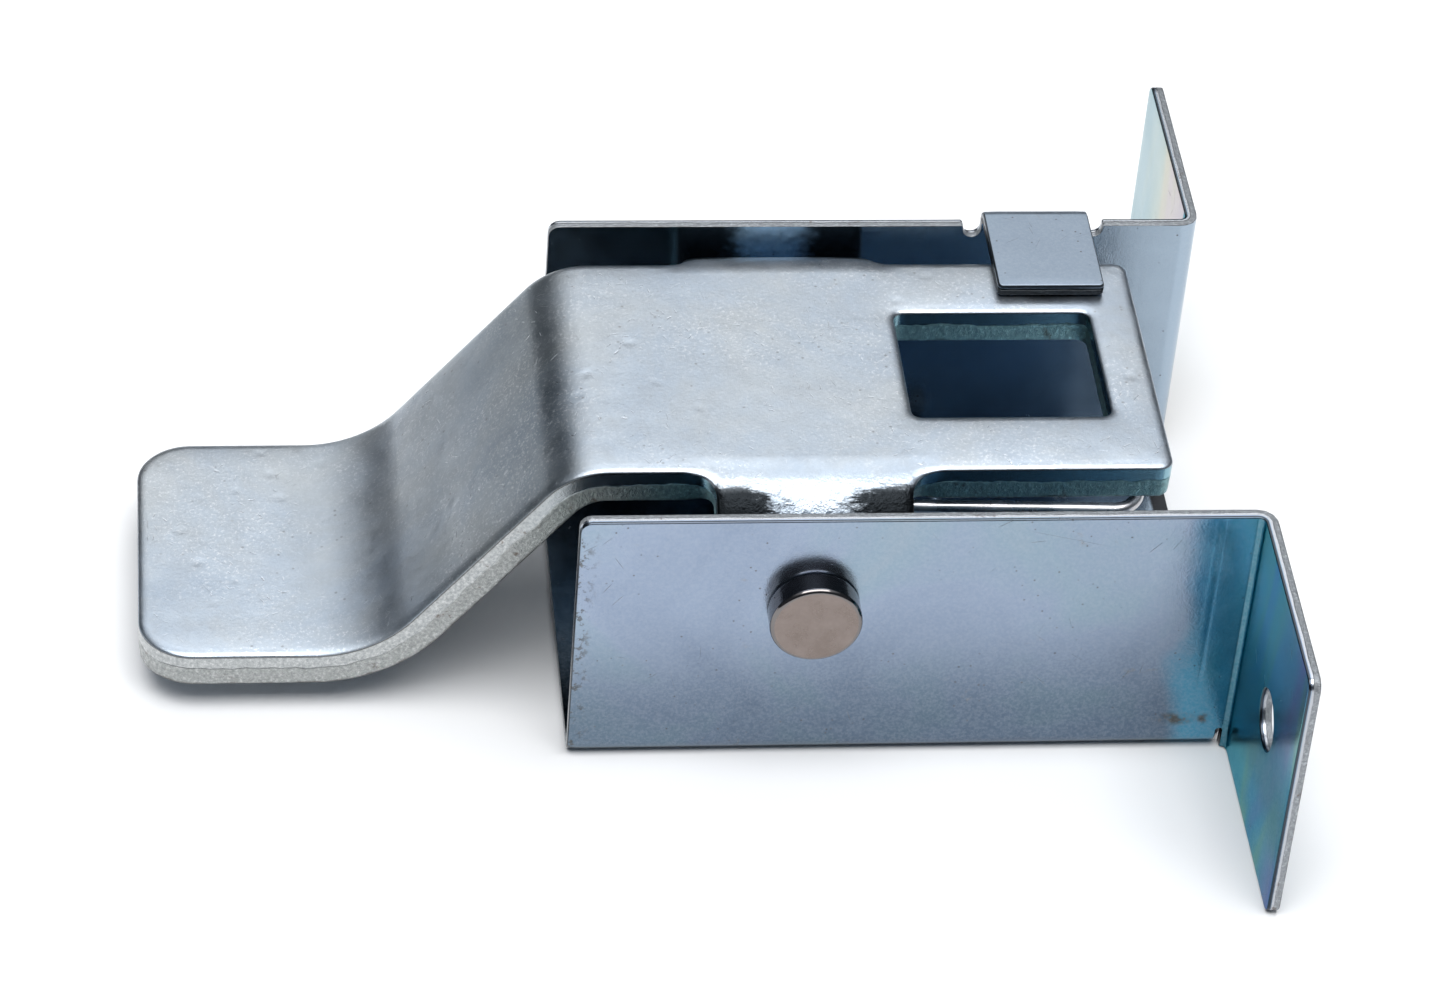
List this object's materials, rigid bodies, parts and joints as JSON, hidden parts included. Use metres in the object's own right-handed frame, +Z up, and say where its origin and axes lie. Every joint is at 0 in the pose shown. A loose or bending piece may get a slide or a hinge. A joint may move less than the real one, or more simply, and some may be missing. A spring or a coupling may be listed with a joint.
{
  "type": "sprung lever catch",
  "caption": "Hand-operated lever catch: a windowed steel lever hinged on a cross pin in a folded channel bracket with screw ears, held up against a stop tab by a return spring.",
  "frame": {"origin": "middle of the two ear holes, on the plane of the ears' mounting face, midway across the channel", "axes": "+X along the channel, out through the ears' mounting face; +Y across the channel, away from the pin's head; +Z up, from the channel's floor towards its open top"},
  "size_m": [0.1086, 0.095, 0.0318],
  "materials": {
    "bracket_zinc": "bright blue-passivated zinc on folded sheet, glossy",
    "lever_zinc": "satin blue-passivated zinc on pressed plate",
    "pin_nickel": "polished nickel",
    "ring_steel": "phosphated spring steel",
    "spring_steel": "drawn zinc-plated spring wire"
  },
  "bodies": {
    "bracket": {"bracket": "bracket_zinc", "pivot_pin": "pin_nickel", "retaining_ring": "ring_steel", "torsion_spring": "spring_steel"},
    "lever": {"lever": "lever_zinc"}
  },
  "joints": [
    {"name": "lever_hinge", "type": "hinge", "parent": "bracket", "child": "lever", "pos_m": [-0.044, 0, 0.0041], "axis": [0, 1, 0], "range_deg": [0, 40], "stiffness_Nm_per_rad": 0.5, "springref_deg": -45.84, "deforming": ["torsion_spring"]}
  ]
}
